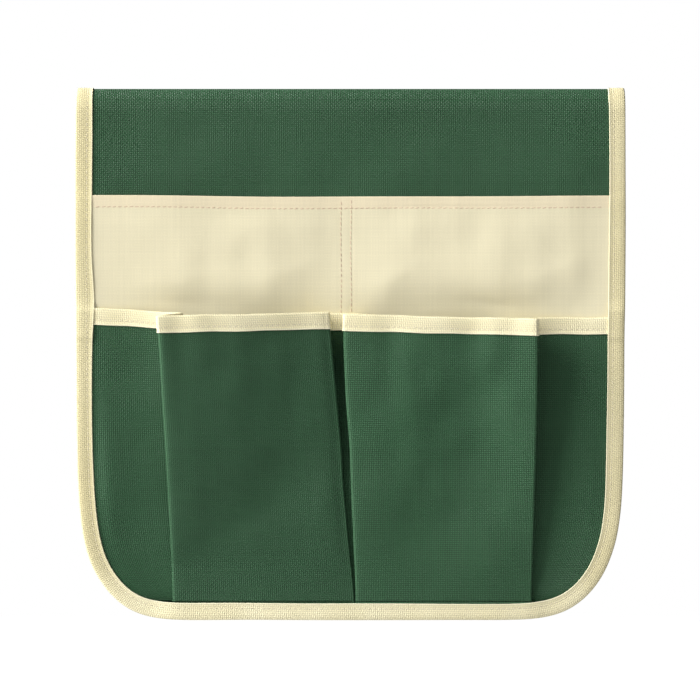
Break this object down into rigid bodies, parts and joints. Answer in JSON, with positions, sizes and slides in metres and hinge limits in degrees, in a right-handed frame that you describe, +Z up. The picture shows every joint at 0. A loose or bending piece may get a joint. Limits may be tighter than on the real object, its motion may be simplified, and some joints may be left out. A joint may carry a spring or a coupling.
{
  "type": "garden tool bag",
  "caption": "Flat cloth tool bag that hangs on a round tube by a fold-over flap with hook and loop strips, with pleated lower pockets and flat upper pockets.",
  "frame": {"origin": "on the axis of the hanging sleeve, midway along it", "axes": "+X along the tube the bag hangs on, +Z up, pockets face -Y"},
  "size_m": [0.32, 0.0471, 0.3099],
  "materials": {
    "green_cloth": "coated plain weave, faint sheen",
    "cream_cloth": "fine plain weave, satin",
    "cream_tape": "ribbed woven tape, matt",
    "thread": "twisted sewing thread",
    "hook": "fine hooks, matt",
    "loop": "brushed loops, matt"
  },
  "bodies": {
    "bag": {"back_panel": "green_cloth", "upper_pocket_panel": "cream_cloth", "upper_pocket_hem_stitching": "thread", "centre_seam_stitching": "thread", "left_side_panel": "green_cloth", "right_side_panel": "green_cloth", "left_side_tape": "cream_tape", "right_side_tape": "cream_tape", "left_outer_gusset": "green_cloth", "left_inner_gusset": "green_cloth", "right_inner_gusset": "green_cloth", "right_outer_gusset": "green_cloth", "centre_panel": "green_cloth", "edge_tape": "cream_tape", "edge_tape_stitching": "thread", "left_loop_strip": "loop", "right_loop_strip": "loop", "loop_strip_stitching": "thread"},
    "flap": {"hanging_flap": "green_cloth", "flap_tape": "cream_tape", "flap_tape_stitching": "thread", "left_hook_strip": "hook", "right_hook_strip": "hook", "hook_strip_stitching": "thread"},
    "left_pocket": {"left_pocket_front": "green_cloth", "left_pocket_tape": "cream_tape", "left_pocket_tape_stitching": "thread"},
    "right_pocket": {"right_pocket_front": "green_cloth", "right_pocket_tape": "cream_tape", "right_pocket_tape_stitching": "thread"}
  },
  "joints": [
    {"name": "flap_fold", "type": "hinge", "parent": "bag", "child": "flap", "pos_m": [0, 0, 0.0145], "axis": [1, 0, 0], "range_deg": [0, 175]},
    {"name": "left_pocket_open", "type": "hinge", "parent": "bag", "child": "left_pocket", "pos_m": [-0.052, -0.017, -0.2849], "axis": [1, 0, 0], "range_deg": [0, 6]},
    {"name": "right_pocket_open", "type": "hinge", "parent": "bag", "child": "right_pocket", "pos_m": [0.054, -0.017, -0.2849], "axis": [1, 0, 0], "range_deg": [0, 6]}
  ]
}
